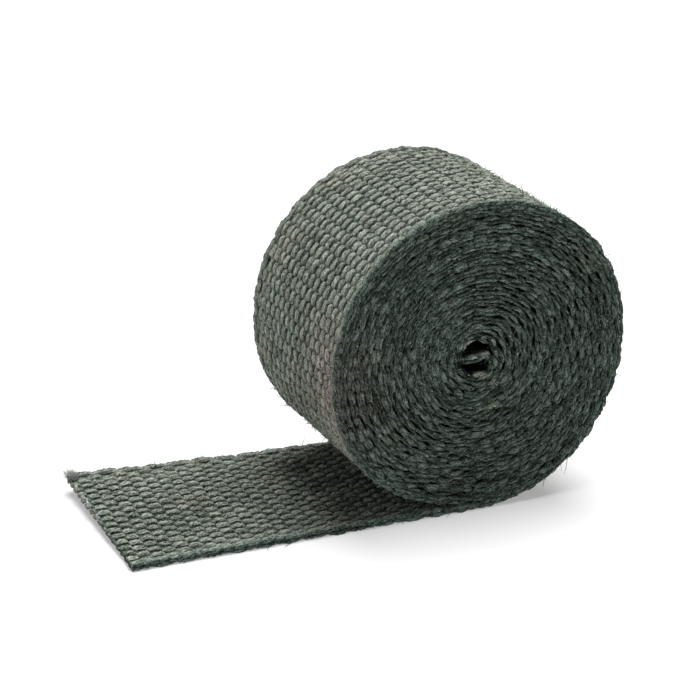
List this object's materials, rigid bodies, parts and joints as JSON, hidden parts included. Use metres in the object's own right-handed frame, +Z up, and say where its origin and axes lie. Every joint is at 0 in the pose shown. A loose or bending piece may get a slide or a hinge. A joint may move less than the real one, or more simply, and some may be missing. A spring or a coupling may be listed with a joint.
{
  "type": "exhaust heat wrap",
  "caption": "Roll of woven glass-fibre tape wound without a core, its outer end laid out flat; wound round a hot exhaust pipe to hold its heat in.",
  "frame": {"origin": "bottom centre of the bounding box, on the flat underside of the free end", "axes": "+Z up, Y along the roll's axis and across the tape, -X the way the free end is paid out"},
  "size_m": [0.1316, 0.05, 0.0813],
  "materials": {
    "glass_fibre_tape": "matt graphite-grey plain weave of bulky glass yarns, slightly fuzzy"
  },
  "bodies": {
    "root": {"heat_wrap": "glass_fibre_tape"}
  },
  "joints": []
}
